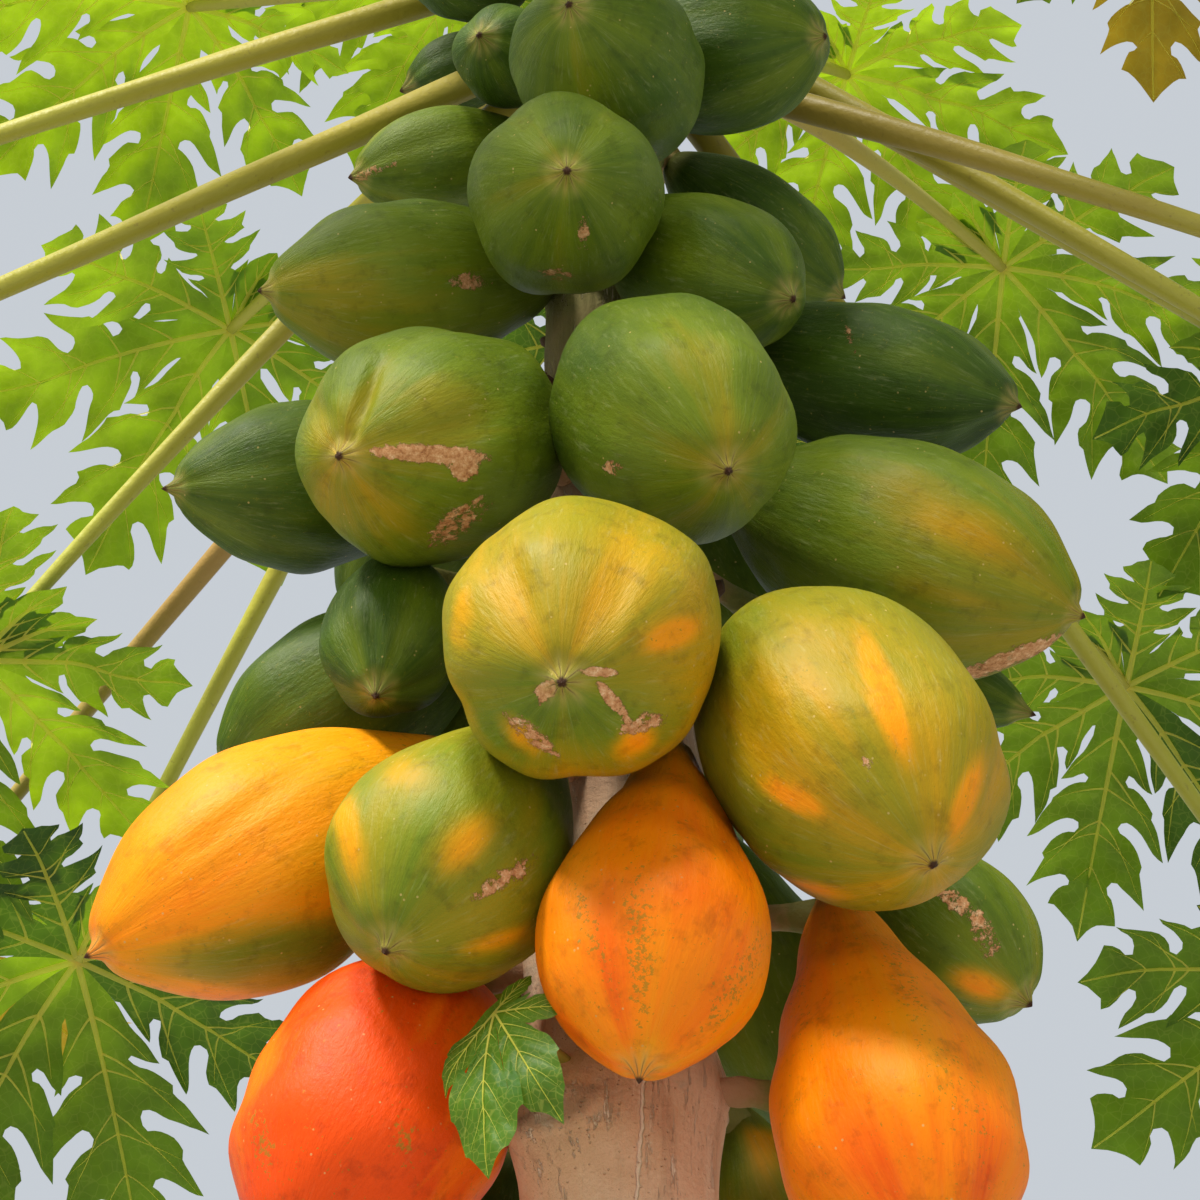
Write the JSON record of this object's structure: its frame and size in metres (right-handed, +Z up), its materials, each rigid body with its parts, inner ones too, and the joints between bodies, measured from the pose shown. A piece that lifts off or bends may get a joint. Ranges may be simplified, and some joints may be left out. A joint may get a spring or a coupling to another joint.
{
  "type": "papaya tree",
  "caption": "Rooted papaya tree with one bare tapering trunk, a dense column of ripening fruit below the crown, and lobed leaves on long stalks.",
  "frame": {"origin": "middle of the flat cut under the trunk, at ground level", "axes": "+Z up along the trunk, -Y towards the side the picture shows, +X to the right in the picture"},
  "size_m": [1.6254, 1.5038, 3.3613],
  "materials": {
    "bark": "matte, leaf-scarred",
    "fruit_green": "satin, waxy",
    "fruit_turning": "satin, waxy",
    "fruit_yellow": "satin, waxy",
    "fruit_orange": "satin, waxy",
    "foliage": "soft satin, light shows through"
  },
  "bodies": {
    "root": {"trunk": "bark", "fruit_01": "fruit_green", "fruit_02": "fruit_green", "fruit_03": "fruit_green", "fruit_04": "fruit_green", "fruit_05": "fruit_green", "fruit_06": "fruit_green", "fruit_07": "fruit_green", "fruit_08": "fruit_green", "fruit_09": "fruit_green", "fruit_10": "fruit_green", "fruit_11": "fruit_green", "fruit_12": "fruit_green", "fruit_13": "fruit_green", "fruit_14": "fruit_green", "fruit_15": "fruit_green", "fruit_16": "fruit_green", "fruit_17": "fruit_turning", "fruit_18": "fruit_green", "fruit_19": "fruit_yellow", "fruit_20": "fruit_turning", "fruit_21": "fruit_orange", "fruit_22": "fruit_turning", "fruit_23": "fruit_green", "fruit_24": "fruit_green", "fruit_25": "fruit_orange", "fruit_26": "fruit_orange", "fruit_27": "fruit_green", "fruit_28": "fruit_turning", "fruit_29": "fruit_turning", "fruit_30": "fruit_green", "fruit_31": "fruit_turning", "fruit_32": "fruit_green", "fruit_33": "fruit_green", "fruit_34": "fruit_green", "fruit_35": "fruit_green", "leaf_01": "foliage", "leaf_02": "foliage", "leaf_03": "foliage", "leaf_04": "foliage", "leaf_05": "foliage", "leaf_06": "foliage", "leaf_07": "foliage", "leaf_08": "foliage", "leaf_09": "foliage", "leaf_10": "foliage", "leaf_11": "foliage", "leaf_12": "foliage", "leaf_13": "foliage", "leaf_14": "foliage", "leaf_15": "foliage", "leaf_16": "foliage", "leaf_17": "foliage", "leaf_18": "foliage", "leaf_19": "foliage", "leaf_20": "foliage", "leaf_21": "foliage", "leaf_22": "foliage", "young_leaf": "foliage", "bud": "foliage"}
  },
  "joints": []
}
